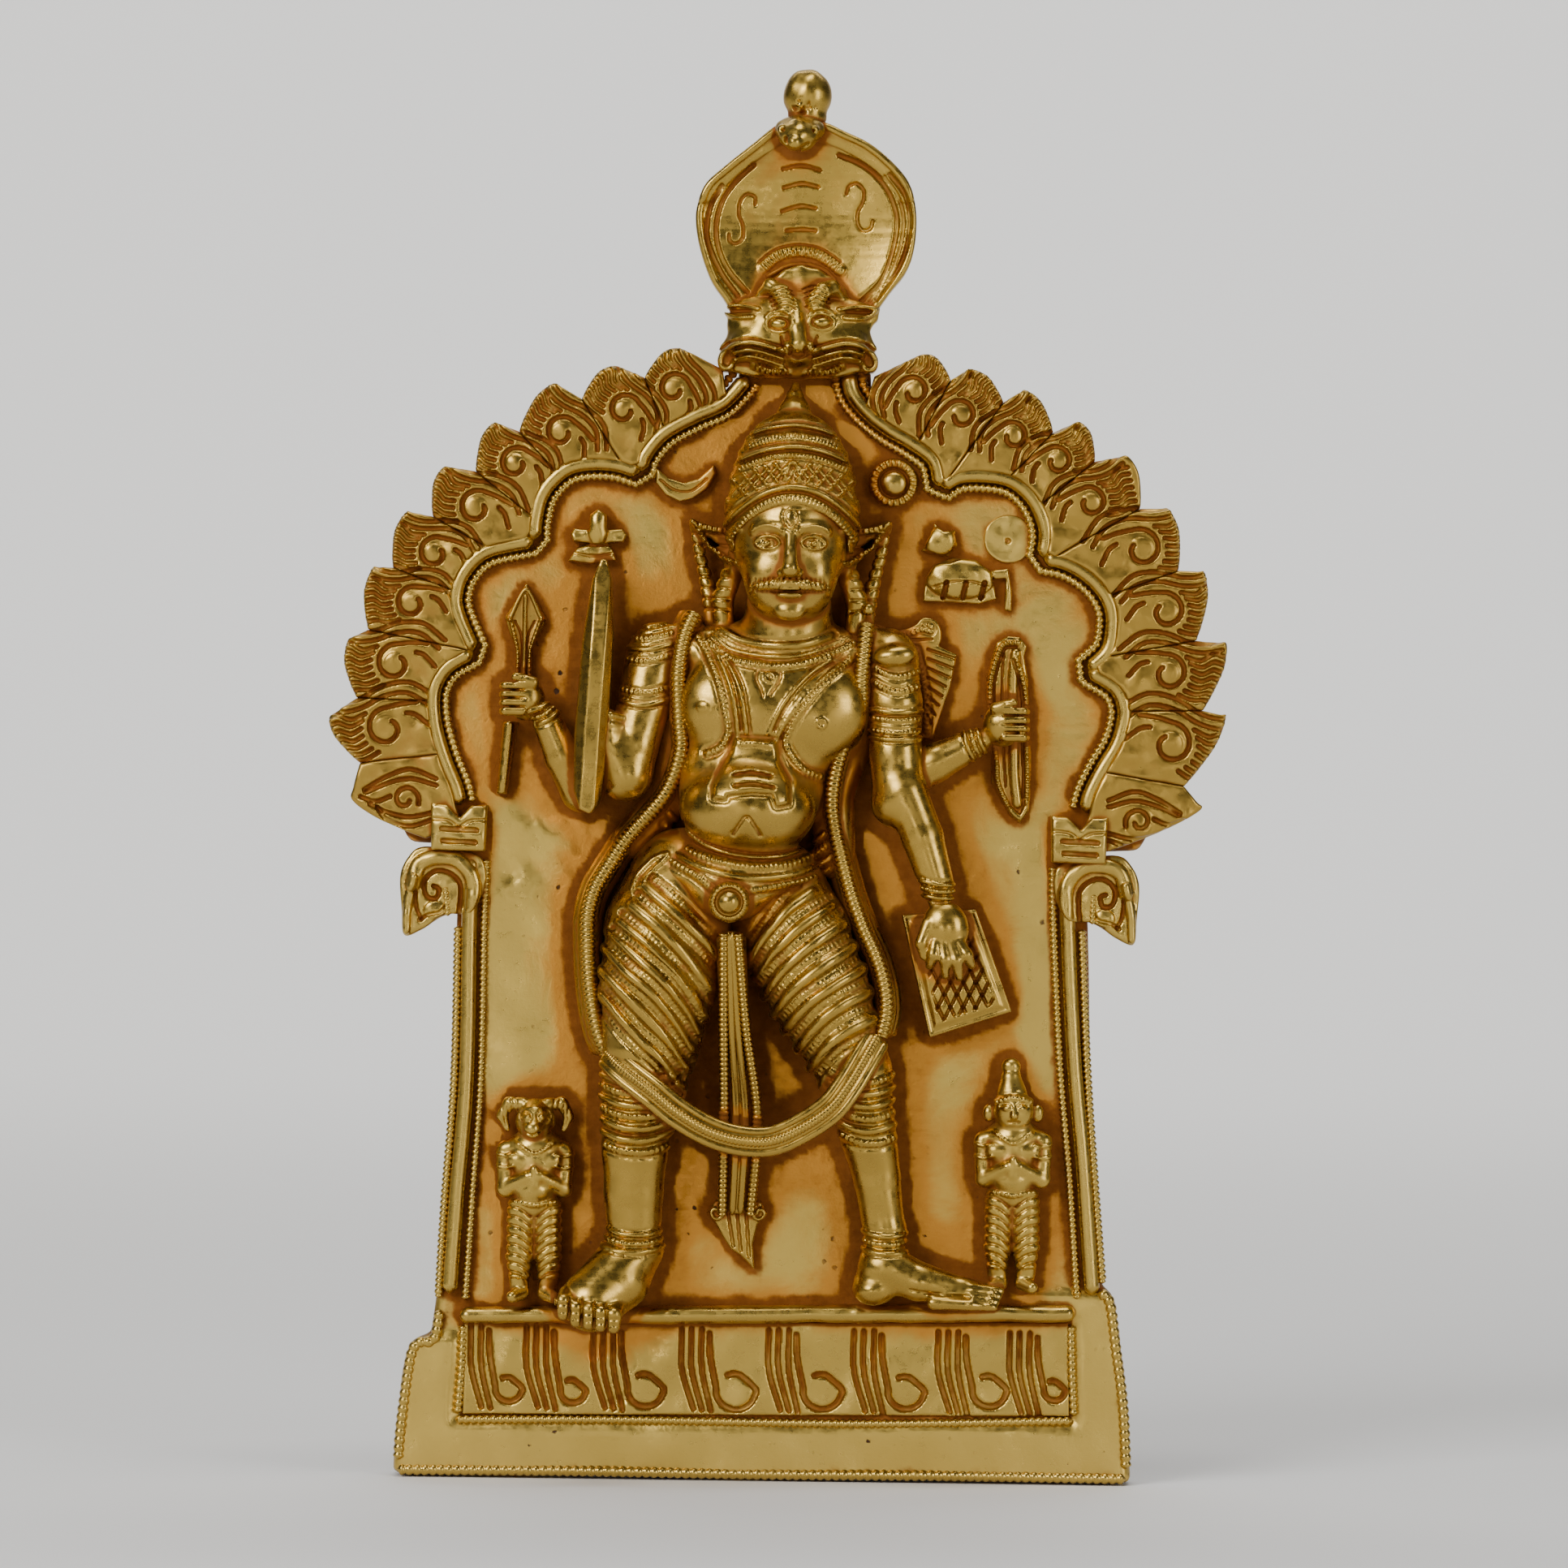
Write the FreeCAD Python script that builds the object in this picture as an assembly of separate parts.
import FreeCAD, Part
import math
import os

# A tall arched plaque of cast brass in high relief: a hollow-backed sheet with a turned rim, and on its
# front the border mouldings, flame scrolls, emblems, attendants and a four-armed guardian figure.
#
# Frame, in millimetres: +Z up, the front faces -Y, +X is the viewer's right.  The origin is the centre of
# the foot's bottom face.  Left and right in node names of borders and flames are the viewer's; those of
# the figure's arms are the figure's own.

# ---- Depths, measured from the middle of the foot ----
WALL_Y = 6.0          # rear edge of the turned rim, which lies on the wall
RECESS_Y = -1.0       # floor of the hollow back
FIELD_Y = -4.0        # front face of the sheet
WIRE_Y = -6.2         # front of beaded wires
MOULD_Y = -7.2        # front of plain mouldings
FLAME_Y = -9.0        # front of flames and brackets

# ---- Sheet outline ----
FOOT_HALF = 79.6      # half width at the very bottom
STEP_HALF = 75.8      # half width where the foot steps in
SHAFT_LOW_HALF = 72.0
SHAFT_TOP_HALF = 67.6
STEP_Z = 30.0
WAIST_Z = 118.0       # underside of the arch
ARCH_X = 1.0          # centre of the arch
ARCH_Z = 164.9
ARCH_RX = 88.0        # half axes of the sheet's arch
ARCH_RZ = 72.0
ARCH_FOOT_Z = 136.0   # where the lowest flames end
HOOD_X = 6.0          # middle of the hood
HOOD_ROOT_Z = 249.0
HOOD_BACK = 0.82      # size of the backing behind the hood, as a share of the hood

# ---- Hollow back ----
RIM_W = 9.0           # width of the turned rim
RECESS_HALF = 58.0
RECESS_TOP_Z = 165.0
RECESS_RX = 77.0
RECESS_RZ = 62.0

# ---- Hanging lug inside the hollow ----
LUG_W = 8.0
LUG_LOW_Z = 207.0
LUG_TOP_Z = 230.0     # runs up into the rim
LUG_FRONT_Y = 0.5
LUG_BACK_Y = 4.5
LUG_HOLE_R = 2.0
LUG_HOLE_Z = 212.0

# ---- Mouldings ----
ROLL_W = 3.3          # smooth arch roll
WIRE_W = 2.0          # beaded wires
WIRE_GAP = 2.9        # from the roll's centre to the wire's centre
STRIP_W = 3.2         # pilaster strips
RIM_WIRE_W = 2.4      # milled wire at the foot's edge

# ---- Flames ----
FLAMES_A_SIDE = 10
FLAME_EYE_R = 5.4
FLAME_TIP_R = 3.2

# ---- Figure ----
AXIS_Y = -10.0        # the body's axis, just in front of the sheet
SMALLEST = 4.0        # offcuts under this volume are dropped
GROUND_Z = 37.2       # top of the bar the figures stand on
LEFT_ATTENDANT_X = -49.6
LEFT_ATTENDANT_HEAD_Z = 77.0
RIGHT_ATTENDANT_X = 53.2
RIGHT_ATTENDANT_RISE = 3.2

V = FreeCAD.Vector

# Outline of the spread hood, from its left foot over the top
HOOD = [
    (-10.4, 252.1), (-15.5, 260.1), (-17.7, 269.7), (-16.4, 276.0), (-9.3, 284.1), (-0.5, 291.3),
    (9.8, 291.4), (20.8, 286.6), (27.7, 279.9), (29.7, 272.6), (27.9, 262.6), (22.1, 252.9), (6.0, 249.0),
]


# ---- Shape helpers ----

def outline_slab(corners, front, back=FIELD_Y):
    """Straight-sided outline of (x, z) corners, thick from y = front to y = back."""
    points = [V(x, back, z) for x, z in corners]
    face = Part.Face(Part.makePolygon(points + points[:1]))
    return face.extrude(V(0, front - back, 0))


def curved_slab(through, front, back=FIELD_Y):
    """Smooth closed outline through (x, z) points, thick from y = front to y = back."""
    curve = Part.BSplineCurve()
    curve.interpolate([V(x, back, z) for x, z in through], PeriodicFlag=True)
    face = Part.Face(Part.Wire([curve.toShape()]))
    return face.extrude(V(0, front - back, 0))


def disc(x, z, radius, front, back=FIELD_Y):
    return Part.makeCylinder(radius, back - front, V(x, front, z), V(0, 1, 0))


def box(low, high):
    return Part.makeBox(*(h - l for l, h in zip(low, high)), V(*low))


def oval(centre, rx, ry, rz):
    """Ellipsoid."""
    stretch = FreeCAD.Matrix()
    stretch.scale(V(rx, ry, rz))
    shape = Part.makeSphere(1.0).transformGeometry(stretch)
    shape.translate(V(*centre))
    return shape


def limb(start, end, start_r, end_r):
    """Round tapering limb with ball ends, from one 3-D point to another."""
    a, b = V(*start), V(*end)
    run = b - a
    if abs(start_r - end_r) < 0.01:
        shaft = Part.makeCylinder(start_r, run.Length, a, run)
    else:
        shaft = Part.makeCone(start_r, end_r, run.Length, a, run)
    return joined([shaft, Part.makeSphere(start_r, a), Part.makeSphere(end_r, b)])


def joined(shapes):
    whole = shapes[0]
    for shape in shapes[1:]:
        whole = whole.fuse(shape)
    return whole.removeSplitter()


def group(shapes):
    """Separate solids kept side by side in one node."""
    return Part.makeCompound([solid for shape in shapes for solid in shape.Solids])


def before_field(shape):
    """What stands in front of the sheet."""
    return shape.common(box((-110, -60, -10), (110, FIELD_Y, 320)))


def stadium(ax, az, bx, bz, ra, rb, front, back=FIELD_Y):
    """Slab round two circles, such as a tapering tongue."""
    lean = math.atan2(bz - az, bx - ax)
    spread = math.acos((ra - rb) / math.hypot(bx - ax, bz - az))
    tangents = []
    for turn in (spread, -spread):
        along = V(math.cos(lean + turn), 0, math.sin(lean + turn))
        tangents.append((V(ax, back, az) + along * ra, V(bx, back, bz) + along * rb))
    far = V(math.cos(lean), 0, math.sin(lean))
    (a1, b1), (a2, b2) = tangents
    rim = [
        Part.LineSegment(a1, b1),
        Part.Arc(b1, V(bx, back, bz) + far * rb, b2),
        Part.LineSegment(b2, a2),
        Part.Arc(a2, V(ax, back, az) - far * ra, a1),
    ]
    return Part.Face(Part.Wire([edge.toShape() for edge in rim])).extrude(V(0, front - back, 0))


def ribbon(points, width, front, back=FIELD_Y):
    """Band of one width along (x, z) points, with round joints."""
    r = width / 2.0
    links = [stadium(*a, *b, r, r, front, back) for a, b in zip(points, points[1:])]
    return joined(links)


def beside(points, gap):
    """The (x, z) line at a constant distance to one side of another."""
    moved = []
    last = len(points) - 1
    for i, (x, z) in enumerate(points):
        before, after = points[max(i - 1, 0)], points[min(i + 1, last)]
        dx, dz = after[0] - before[0], after[1] - before[1]
        length = math.hypot(dx, dz)
        moved.append((x - gap * dz / length, z + gap * dx / length))
    return moved


def spin(profile, x, y):
    """Solid of revolution about a vertical axis, from (radius, z) points."""
    points = [V(x + r, y, z) for r, z in profile]
    face = Part.Face(Part.makePolygon(points + points[:1]))
    return face.revolve(V(x, y, 0), V(0, 0, 1), 360)


def body_loft(stations, y=AXIS_Y):
    """Trunk through horizontal ellipses: (z, centre x, half width, half depth)."""
    rings = []
    for z, x, rx, ry in stations:
        wide = Part.Ellipse(V(x, y, z), max(rx, ry), min(rx, ry))
        wide.XAxis = V(1, 0, 0) if rx >= ry else V(0, 1, 0)
        rings.append(Part.Wire([wide.toShape()]))
    return Part.makeLoft(rings, True)


# ---- The sheet ----

def arch_edge(rx, rz, foot_z, steps=36):
    """Arc of the arch from its left foot over the top to its right foot."""
    low = math.asin((foot_z - ARCH_Z) / rz)
    turn = (math.pi - 2 * low) / steps
    return [
        (ARCH_X + rx * math.cos(math.pi - low - turn * i), ARCH_Z + rz * math.sin(math.pi - low - turn * i))
        for i in range(steps + 1)
    ]


def back_plate():
    arch = arch_edge(ARCH_RX, ARCH_RZ, ARCH_FOOT_Z)
    left = [(-FOOT_HALF, 0), (-STEP_HALF, STEP_Z), (-SHAFT_LOW_HALF, STEP_Z + 1)]
    left += [(-SHAFT_TOP_HALF, WAIST_Z), (-SHAFT_TOP_HALF, ARCH_FOOT_Z)]
    right = [(-x, z) for x, z in reversed(left)]
    sheet = outline_slab(left + arch + right, FIELD_Y, WALL_Y)
    root_z = HOOD_ROOT_Z
    tongue = outline_slab([(-8, 230), (-5, root_z + 6), (17, root_z + 6), (20, 230)], FIELD_Y, WALL_Y - 3)
    inset = [(HOOD_X + (x - HOOD_X) * HOOD_BACK, root_z + (z - root_z) * HOOD_BACK) for x, z in HOOD]
    backing = curved_slab(inset, FIELD_Y, RECESS_Y)
    hollow = [(-RECESS_HALF, RIM_W), (-RECESS_HALF, RECESS_TOP_Z)]
    hollow += [(-x, z) for x, z in reversed(hollow)]
    recess = outline_slab(hollow, RECESS_Y, WALL_Y + 1)
    vault = outline_slab(arch_edge(RECESS_RX, RECESS_RZ, ARCH_FOOT_Z + 10), RECESS_Y, WALL_Y + 1)
    return joined([sheet, tongue, backing]).cut(joined([recess, vault]))


def hanging_lug():
    """Tab that hangs from the rim inside the hollow, with a hole for a nail."""
    half_w = LUG_W / 2
    tab = box((-half_w, LUG_FRONT_Y, LUG_LOW_Z), (half_w, LUG_BACK_Y, LUG_TOP_Z))
    length = LUG_BACK_Y - LUG_FRONT_Y
    hole = Part.makeCylinder(LUG_HOLE_R, length + 2, V(0, LUG_FRONT_Y - 1, LUG_HOLE_Z), V(0, 1, 0))
    return tab.cut(hole)


# ---- Mouldings of the foot, the pilasters and the arch ----

PILASTER_LEFT = [(-64.8, 120.0), (-65.0, 86.0), (-67.8, 42.5)]
PILASTER_RIGHT = [(64.4, 120.0), (66.0, 90.0), (69.6, 42.5)]
ARCH_LEFT = [
    (-66.5, 146.0), (-70.2, 154.0), (-72.5, 163.0), (-71.0, 172.0), (-64.0, 178.0), (-67.5, 185.0),
    (-67.0, 193.0), (-60.0, 199.8), (-52.0, 202.0), (-50.5, 209.0), (-44.0, 217.0), (-36.0, 218.3),
    (-30.4, 216.5), (-25.5, 224.5), (-16.0, 230.5), (-9.0, 235.5),
]
ARCH_RIGHT = [
    (67.5, 145.5), (71.0, 153.5), (75.8, 163.5), (74.0, 171.5), (67.0, 176.0), (73.0, 184.0),
    (70.5, 194.0), (61.5, 200.0), (59.5, 208.0), (52.0, 215.0), (42.5, 216.8), (36.5, 214.0),
    (31.5, 222.5), (22.5, 229.0), (16.5, 234.5),
]


def base_moulding():
    edge = RIM_WIRE_W / 2 + 0.2
    foot = ribbon([(-FOOT_HALF + 2, edge), (FOOT_HALF - 2, edge)], RIM_WIRE_W, MOULD_Y)
    side = [(-FOOT_HALF + 1.6, 4.4), (-STEP_HALF + 1.4, STEP_Z - 2)]
    left = ribbon(side, RIM_WIRE_W, MOULD_Y)
    right = ribbon([(-x, z) for x, z in side], RIM_WIRE_W, MOULD_Y)
    return group([foot, left, right])


def panel_frame():
    bottom = ribbon([(-64.0, 11.6), (64.5, 12.4)], WIRE_W, WIRE_Y)
    left = ribbon([(-67.2, 11.6), (-65.4, 31.0)], WIRE_W, WIRE_Y)
    right = ribbon([(67.8, 12.4), (67.2, 32.0)], WIRE_W, WIRE_Y)
    return group([bottom, left, right])


def scroll_frieze():
    """Eight hooked scrolls standing in the panel."""
    hooks = []
    for x in (-54.7, -40.9, -25.3, -5.9, 12.7, 30.7, 48.6, 61.4):
        stem = [(x - 4.5, 30.8), (x - 3.6, 22.0), (x - 1.5, 16.4), (x + 2.0, 17.0), (x + 2.4, 21.0)]
        hooks.append(ribbon(stem, 2.2, WIRE_Y))
    return group(hooks)


def ground_bar():
    return outline_slab([(-66.0, 33.8), (-66.0, 37.2), (66.5, 38.8), (66.5, 35.4)], -8.5)


def pilaster(line):
    strip = ribbon(line, STRIP_W, MOULD_Y)
    wires = [ribbon(beside(line, gap), WIRE_W - 0.2, WIRE_Y).cut(strip) for gap in (-2.7, 2.7)]
    return group([strip] + wires)


def bracket(side):
    """Spiral scroll under the arch's foot."""
    eye = disc(side * 72.5, 124.5, 6.2, FLAME_Y)
    outline = [(78.8, 117.2), (79.2, 129.0), (74.5, 134.3), (63.0, 133.8), (60.8, 127.0),
               (69.0, 121.0), (72.0, 116.6)]
    leaf = outline_slab([(side * x, z) for x, z in outline], FLAME_Y + 1.5)
    return joined([eye, leaf])


def capital(side):
    """Stepped block with a notched top."""
    block = [(60.8, 134.9), (60.8, 139.0), (72.0, 139.0), (71.4, 134.9)]
    low = outline_slab([(side * x, z) for x, z in block], -9.0)
    steps = ((61.6, 139.0), (61.6, 144.4), (64.0, 144.4), (65.2, 142.6), (68.0, 142.6), (69.0, 144.4),
             (72.2, 144.4), (72.2, 139.0))
    high = outline_slab([(side * x, z) for x, z in steps], -7.8)
    return joined([low, high])


def arch_ridge():
    return group([ribbon(ARCH_LEFT, ROLL_W, MOULD_Y), ribbon(ARCH_RIGHT, ROLL_W, MOULD_Y)])


def arch_beads():
    wires = []
    for line in (ARCH_LEFT, ARCH_RIGHT):
        for gap in (-WIRE_GAP, WIRE_GAP):
            wires.append(ribbon(beside(line, gap), WIRE_W, WIRE_Y))
    return group(wires)


# ---- Flames ----

def flame_places(side):
    """Centre of each flame's eye and of its tip, from the top of the arch down one side."""
    places = []
    for i in range(FLAMES_A_SIDE):
        at = i / (FLAMES_A_SIDE - 1.0)
        eye_turn = math.radians(107.0 + 91.0 * at)
        tip_turn = math.radians(106.0 + 86.0 * at)
        eye = (ARCH_X + side * 80.0 * -math.cos(eye_turn), ARCH_Z + 71.0 * math.sin(eye_turn))
        tip = (ARCH_X + side * 93.5 * -math.cos(tip_turn), ARCH_Z + 81.0 * math.sin(tip_turn))
        places.append((eye, tip))
    return places


def flame(eye, tip):
    return stadium(*eye, *tip, FLAME_EYE_R, FLAME_TIP_R, FLAME_Y)


# ---- Crest ----

def kirtimukha_mask():
    outline = [(-13.0, 240.0), (-9.5, 247.0), (-10.8, 252.0), (-4.0, 255.5), (-1.0, 261.0),
               (5.1, 263.0), (11.0, 261.0)]
    outline += [(13.5, 255.5), (22.0, 252.5), (18.8, 246.0), (21.6, 240.0), (13.0, 237.2), (-4.5, 237.0)]
    back = outline_slab(outline, -9.0)
    face = before_field(oval((5.0, -8.0, 248.5), 11.5, 9.5, 11.5))
    nose = before_field(limb((4.2, -14.0, 251.0), (4.6, -17.5, 243.5), 1.6, 3.0))
    return joined([back, face, nose])


def cobra_hood():
    return curved_slab(HOOD, FLAME_Y)


def cobra_head():
    neck = limb((4.6, -9.5, 281.0), (4.6, -12.0, 286.5), 3.0, 3.2)
    snout = limb((4.6, -12.0, 287.5), (4.3, -16.0, 289.0), 3.4, 2.4)
    return joined([neck, snout])


def finial():
    egg = oval((6.0, -6.6, 297.8), 5.2, 5.0, 5.6)
    stem = Part.makeCylinder(2.6, 5.0, V(6.0, -6.6, 290.0))
    return joined([egg, stem])


# ---- Emblems in the field ----

def crescent_moon():
    return disc(-18.8, 217.5, 6.2, WIRE_Y).cut(disc(-18.8, 221.2, 5.6, WIRE_Y - 1, FIELD_Y + 1))


def sun_disc():
    return joined([disc(25.5, 214.9, 4.9, WIRE_Y), disc(25.5, 214.9, 2.5, MOULD_Y)])


def lingam_emblem():
    stand = outline_slab([(-44.0, 196.6), (-42.0, 199.6), (-36.6, 199.6), (-34.6, 196.6)], MOULD_Y)
    bowl = [(-44.0, 201.6), (-42.6, 204.0), (-33.0, 204.0), (-31.6, 201.6), (-38.0, 199.6)]
    basin = outline_slab(bowl, MOULD_Y)
    stone = stadium(-37.8, 203.5, -37.7, 206.6, 2.4, 2.0, FLAME_Y)
    return joined([stand, basin, stone])


def bull_emblem():
    trunk = [(31.6, 193.0), (32.4, 198.2), (36.0, 200.4), (42.0, 199.0)]
    trunk += [(47.0, 197.8), (48.6, 194.0), (46.0, 190.4), (36.0, 190.4)]
    neck = [(32.6, 198.4), (31.6, 203.2), (35.0, 206.0), (38.8, 203.4), (39.2, 198.0)]
    tail = [(47.8, 195.6), (51.0, 196.2), (51.4, 192.0), (50.0, 188.6)]
    body = [curved_slab(trunk, FLAME_Y), curved_slab(neck, FLAME_Y - 0.8)]
    return joined(body + [ribbon(tail, 1.8, WIRE_Y)])


def repair_plug():
    return disc(50.4, 203.2, 5.4, FIELD_Y - 1.2)


# ---- Attendants ----

def attendant():
    """Small standing figure in a pleated skirt, hands joined before the chest, at the left one's place."""
    x, head_z, foot_z = LEFT_ATTENDANT_X, LEFT_ATTENDANT_HEAD_Z, GROUND_Z + 2.2
    shoulder_z = head_z - 6.0
    stations = [(foot_z + 18, x, 6.0, 5.2), (head_z - 14, x, 5.2, 5.2), (shoulder_z + 0.2, x, 6.9, 5.4)]
    trunk = body_loft(stations, -8.2)
    neck = limb((x, -9.2, shoulder_z - 2.0), (x, -10.4, head_z - 2.0), 3.0, 2.7)
    parts = [trunk, neck, Part.makeSphere(4.8, V(x, -11.0, head_z))]
    for side in (-1, 1):
        elbow = (x + side * 6.0, -10, head_z - 15)
        parts.append(limb((x + side * 6.0, -9, shoulder_z), elbow, 2.4, 2.2))
        parts.append(limb(elbow, (x + side * 0.6, -14, head_z - 12), 2.2, 1.8))
        hip = (x + side * 2.9, -8.5, foot_z + 19)
        parts.append(limb(hip, (x + side * 3.0, -8.5, foot_z + 3), 3.2, 2.5))
        foot = [(1.0, -2.0), (5.6, -2.0), (5.0, 3.0), (1.4, 3.0)]
        parts.append(outline_slab([(x + side * across, foot_z + up) for across, up in foot], -14.0))
    return parts


def ram_headed_attendant():
    x, z = LEFT_ATTENDANT_X, LEFT_ATTENDANT_HEAD_Z
    parts = attendant()
    parts.append(limb((x, -13.0, z), (x - 0.6, -17.0, z - 2.4), 3.0, 2.2))
    for side in (-1, 1):
        parts.append(limb((x + side * 4.0, -10.5, z + 2.6), (x + side * 6.8, -8.5, z - 0.4), 1.8, 1.4))
    return before_field(joined(parts))


def crowned_attendant():
    body = before_field(joined(attendant()))
    body.translate(V(RIGHT_ATTENDANT_X - LEFT_ATTENDANT_X, 0, RIGHT_ATTENDANT_RISE))
    cap_z = LEFT_ATTENDANT_HEAD_Z + RIGHT_ATTENDANT_RISE + 4.9
    cap = Part.makeCone(4.2, 1.4, 6.2, V(RIGHT_ATTENDANT_X - 0.4, -10.0, cap_z))
    return group([body, cap])


# ---- The guardian ----

def torso():
    hips = body_loft([(118.0, -9.0, 26.0, 20.0), (128.0, -9.0, 27.0, 21.5), (136.0, -7.0, 21.0, 20.0)])
    trunk = body_loft([(134.5, -4.5, 18.0, 19.0), (145.0, -5.0, 16.8, 23.5), (157.0, -2.0, 17.0, 20.0),
                       (168.0, 0.5, 19.0, 18.5), (180.0, 2.5, 18.0, 14.0), (186.0, 3.0, 9.0, 9.0)])
    boss = disc(-8.5, 124.8, 4.0, -33.5, AXIS_Y)
    return before_field(joined([hips, trunk, boss]))


def head():
    skull = oval((3.5, -19.5, 197.6), 12.4, 12.6, 13.4)
    neck = limb((3.2, -13.0, 180.0), (3.4, -16.0, 190.0), 8.5, 8.0)
    parts = [skull, neck]
    for side in (-1, 1):
        ear = (3.6 + side * 20.6, -9.0, 205.0)
        parts.append(limb(ear, (3.6 + side * 13.0, -12.0, 199.0), 2.8, 3.0))
        parts.append(limb(ear, (3.6 + side * 20.0, -8.5, 189.0), 2.6, 2.2))
    return before_field(joined(parts))


def crown():
    profile = [(0, 203.0), (13.4, 206.0), (14.2, 209.5), (13.2, 214.0), (11.6, 215.0), (11.4, 220.5)]
    profile += [(8.6, 222.0), (7.4, 227.0), (3.2, 231.5), (1.4, 235.0), (0, 235.4)]
    return before_field(spin(profile, 3.8, -19.0))


def legs():
    left = [
        limb((-22.6, -14.0, 122.0), (-24.8, -16.0, 92.0), 13.0, 10.2),
        limb((-24.8, -16.0, 92.0), (-28.0, -13.0, 53.0), 9.6, 6.8),
        limb((-28.0, -13.0, 50.0), (-37.5, -18.0, 41.0), 6.8, 6.0),
    ]
    foot = [(19.0, 39.0), (19.4, 46.0), (21.6, 56.0), (30.4, 56.0), (33.0, 49.5), (44.0, 45.0),
            (53.0, 42.2), (53.0, 39.4)]
    right = [
        limb((5.4, -14.0, 122.0), (16.4, -14.0, 95.0), 12.6, 9.4),
        limb((16.4, -14.0, 95.0), (25.4, -11.0, 54.0), 8.8, 5.2),
        outline_slab(foot, -17.0),
    ]
    cleft = box((-9.2, -60, 100), (-7.8, 10, 140))
    return group([before_field(joined(left)).cut(cleft), before_field(joined(right)).cut(cleft)])


def garland():
    """Long garland in five lengths: two on the chest, two beside the thighs, one across the knees."""
    knees = [(-34.6, 95.4), (-23.7, 84.2), (-13.1, 78.5), (-1.7, 76.4), (9.7, 78.4), (18.3, 84.6),
             (22.0, 89.6)]
    lengths = [
        ([(-16.0, 183.0), (-19.6, 167.0), (-20.0, 153.0), (-27.0, 141.0)], -27.0),
        ([(-30.0, 137.6), (-36.6, 125.9), (-38.4, 111.9), (-36.8, 99.6)], -22.0),
        (knees, -30.0),
        ([(25.0, 94.0), (26.4, 103.9), (22.9, 113.4), (19.6, 122.0)], -22.0),
        ([(17.6, 126.4), (12.9, 136.0), (12.6, 146.0), (15.8, 156.3), (19.0, 166.0), (19.9, 183.0)], -27.0),
    ]
    return group([ribbon(points, 4.8, front) for points, front in lengths])


def sash():
    cords = [ribbon([(-9.4, 116.0), (-9.0, 78.0), (-9.6, 57.5)], 2.6, -30.0)]
    cords.append(ribbon([(-6.0, 116.0), (-2.2, 78.0), (-3.2, 57.5)], 2.6, -30.0))
    tail = [(-9.6, 59.0), (-3.0, 59.0), (0.4, 56.5), (-2.6, 46.0), (-6.5, 50.0), (-9.0, 46.5), (-11.6, 56.5)]
    return joined(cords + [outline_slab(tail, -20.0)])


def rear_right_arm():
    parts = [
        limb((-24.0, -8.0, 170.0), (-42.0, -9.0, 152.0), 5.0, 4.0),
        limb((-42.0, -9.0, 152.0), (-52.0, -11.0, 164.0), 3.8, 3.2),
        limb((-54.6, -12.0, 165.0), (-52.4, -12.0, 169.6), 4.2, 4.2),
    ]
    return before_field(joined(parts))


def front_right_arm():
    parts = [
        limb((-24.0, -11.0, 180.0), (-29.0, -16.0, 153.0), 6.6, 5.4),
        limb((-29.0, -16.0, 153.0), (-35.6, -19.0, 160.0), 4.8, 4.0),
        limb((-36.0, -18.0, 158.6), (-35.0, -18.0, 163.6), 4.4, 4.4),
    ]
    return before_field(joined(parts))


def rear_left_arm():
    parts = [
        limb((24.0, -8.0, 170.0), (28.0, -9.0, 151.5), 5.0, 4.0),
        limb((28.0, -9.0, 151.5), (43.6, -11.0, 159.6), 3.8, 3.2),
        limb((48.8, -12.0, 160.8), (51.6, -12.0, 164.8), 4.4, 4.4),
    ]
    return before_field(joined(parts))


def front_left_arm():
    parts = [
        limb((26.0, -11.0, 180.0), (28.0, -15.0, 147.0), 6.6, 5.4),
        limb((28.0, -15.0, 147.0), (36.0, -18.0, 127.0), 5.0, 3.8),
        limb((37.0, -19.0, 122.0), (39.0, -20.0, 115.0), 4.8, 4.2),
        limb((39.0, -20.0, 114.0), (41.6, -19.5, 109.4), 3.0, 2.4),
    ]
    return before_field(joined(parts))


# ---- What the guardian holds ----

def sword():
    blade = ribbon([(-36.4, 196.0), (-37.0, 170.0), (-38.4, 145.0)], 3.8, -14.0)
    guard = outline_slab([(-40.8, 168.8), (-40.6, 171.4), (-32.6, 171.2), (-32.8, 168.6)], -15.0)
    return joined([blade, guard])


def arrow():
    head = [(-53.1, 192.0), (-57.6, 184.8), (-56.0, 180.0), (-54.4, 178.0), (-52.4, 178.2), (-48.6, 184.6)]
    leaf = outline_slab(head, -8.0)
    shaft = ribbon([(-54.0, 180.0), (-55.9, 162.4), (-57.8, 147.3)], 2.4, -9.0)
    return joined([leaf, shaft])


def bow():
    ring = [(53.8, 179.4), (51.5, 181.6), (49.0, 178.6), (47.2, 170.0), (49.4, 158.0), (53.4, 142.4)]
    string = [(53.4, 142.4), (54.6, 156.0), (54.4, 169.6), (52.0, 176.0)]
    return joined([ribbon(ring, 2.6, -9.0), ribbon(string, 1.8, -8.0)])


def shield():
    return outline_slab([(28.4, 122.0), (44.2, 123.8), (52.2, 101.8), (34.8, 96.0)], -13.0)


def quiver():
    case = ribbon([(34.2, 181.0), (34.4, 172.0), (33.8, 161.5)], 6.4, -10.0)
    mouth = disc(33.4, 183.6, 2.6, -9.0)
    feathers = outline_slab([(36.0, 176.0), (40.0, 178.4), (41.2, 175.6), (36.6, 171.6)], -8.0)
    return joined([case, mouth, feathers])


# ---- Assembly ----

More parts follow.
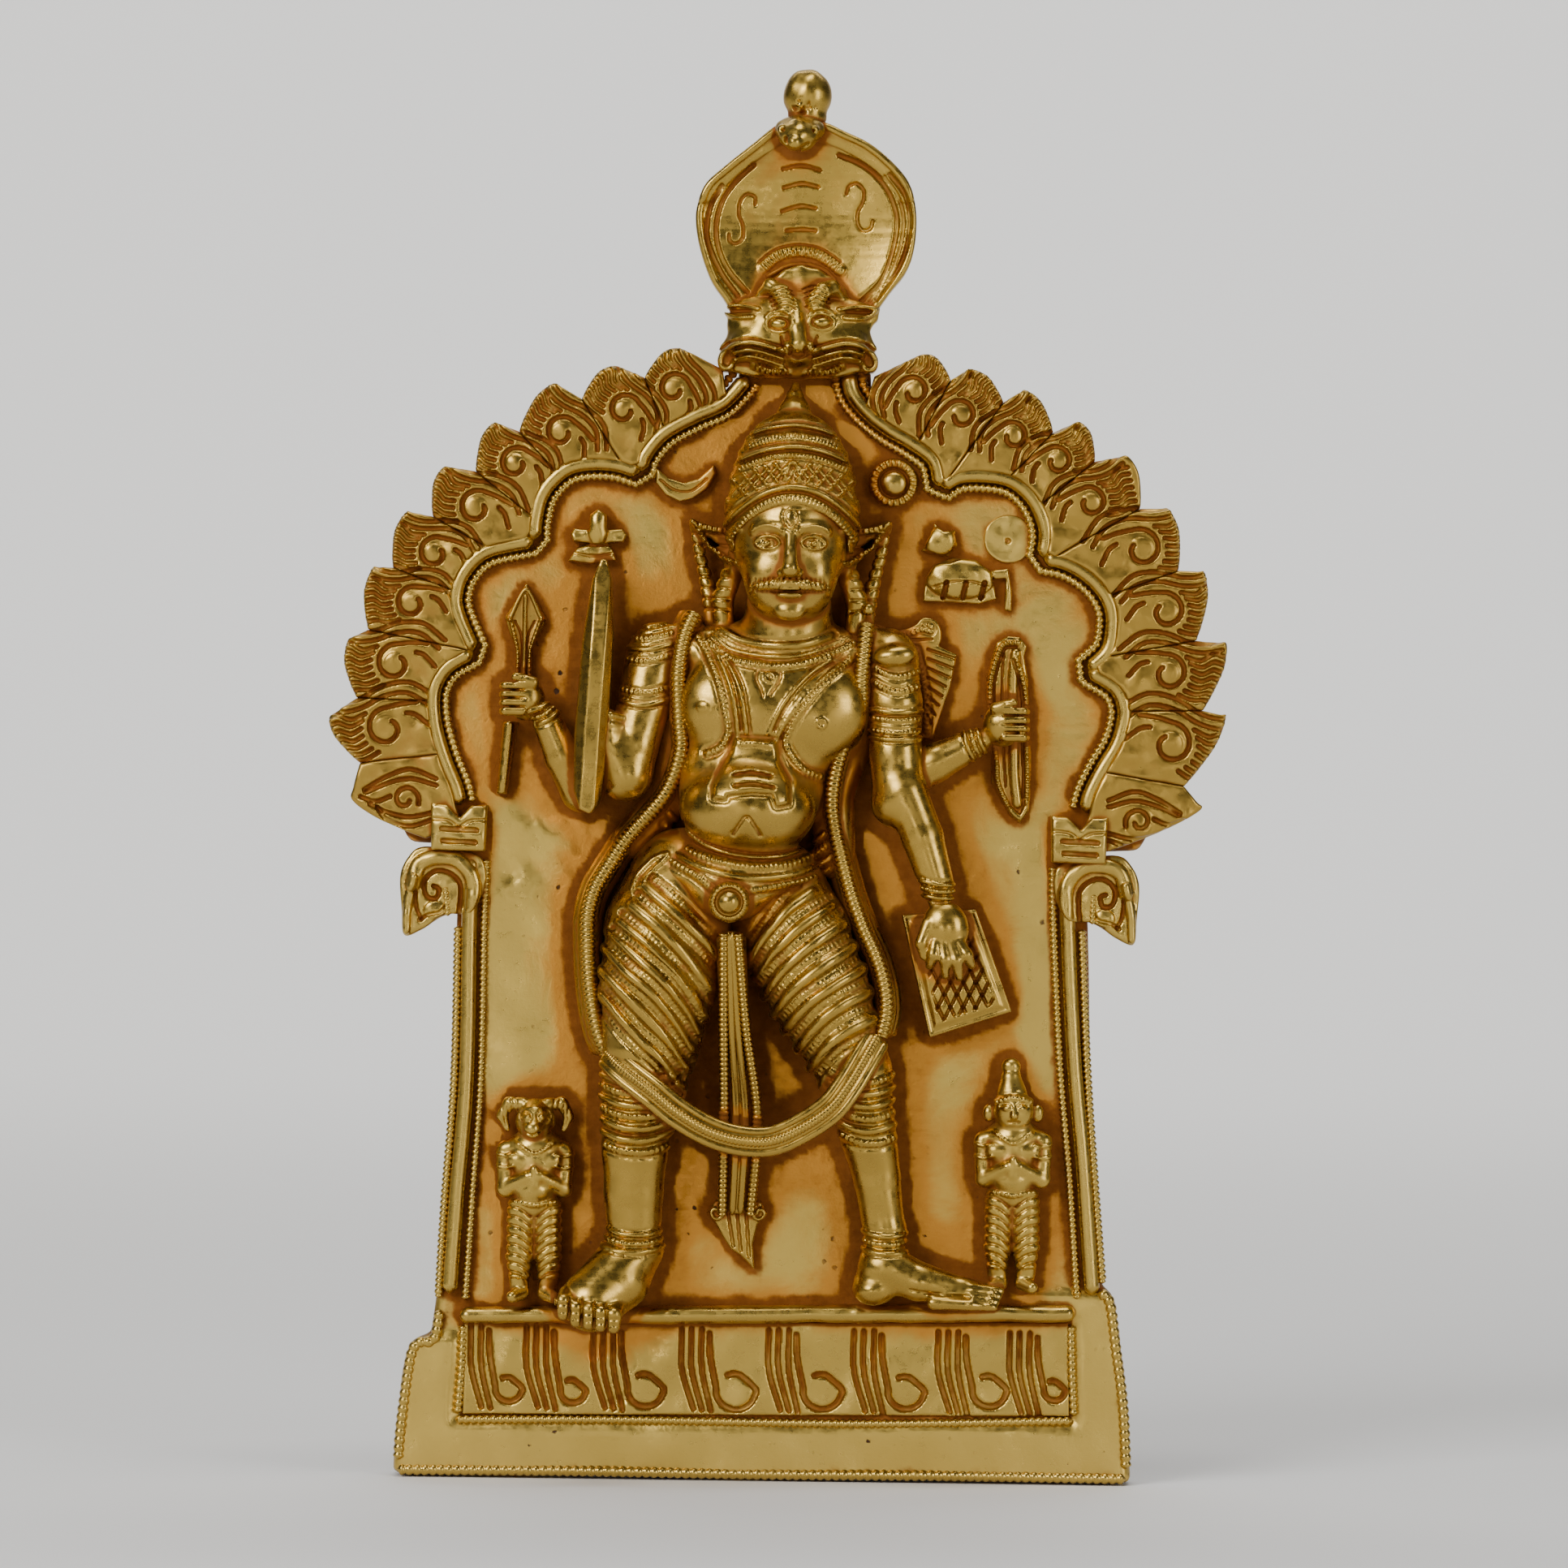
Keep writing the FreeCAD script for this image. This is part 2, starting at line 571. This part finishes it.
def listed_nodes():
    """Every node in the order it keeps its own shape: a later one is cut back where it meets an earlier."""
    nodes = [
        ("back_plate", back_plate()), ("hanging_lug", hanging_lug()), ("base_moulding", base_moulding()),
        ("panel_frame", panel_frame()), ("ground_bar", ground_bar()), ("scroll_frieze", scroll_frieze()),
        ("pilaster_left", pilaster(PILASTER_LEFT)), ("pilaster_right", pilaster(PILASTER_RIGHT)),
        ("capital_left", capital(-1)), ("capital_right", capital(1)),
        ("bracket_left", bracket(-1)), ("bracket_right", bracket(1)),
        ("arch_ridge", arch_ridge()), ("arch_beads", arch_beads()),
        ("finial", finial()), ("cobra_head", cobra_head()),
        ("kirtimukha_mask", kirtimukha_mask()), ("cobra_hood", cobra_hood()),
        ("crescent_moon", crescent_moon()), ("sun_disc", sun_disc()),
        ("lingam_emblem", lingam_emblem()), ("bull_emblem", bull_emblem()), ("repair_plug", repair_plug()),
        ("ram_headed_attendant", ram_headed_attendant()), ("crowned_attendant", crowned_attendant()),
        ("sword", sword()), ("arrow", arrow()), ("bow", bow()), ("shield", shield()), ("quiver", quiver()),
        ("crown", crown()), ("head", head()), ("torso", torso()), ("legs", legs()),
        ("front_right_arm", front_right_arm()), ("front_left_arm", front_left_arm()),
        ("rear_right_arm", rear_right_arm()), ("rear_left_arm", rear_left_arm()),
        ("sash", sash()), ("garland", garland()),
    ]
    for side, word in ((-1, "left"), (1, "right")):
        for number, (eye, tip) in enumerate(flame_places(side), 1):
            nodes.append((f"flame_{word}_{number:02d}", flame(eye, tip)))
    return nodes


def fitted(nodes):
    """Cut each node back from those before it, so that neighbours meet face to face."""
    done = []
    for name, shape in nodes:
        reach = shape.BoundBox
        near = [other for _, other in done if other.BoundBox.intersect(reach)]
        for other in near:
            if shape.common(other).Volume > 0.001:
                shape = shape.cut(other)
        solids = [solid for solid in shape.Solids if solid.Volume > SMALLEST]
        done.append((name, solids[0] if len(solids) == 1 else Part.makeCompound(solids)))
    return done


os.makedirs("parts", exist_ok=True)
for node, solid in fitted(listed_nodes()):
    solid.exportStep(f"parts/{node}.step")
    print(f"{node:24s} {len(solid.Solids):3d} solids {solid.Volume / 1000:8.2f} cm3")
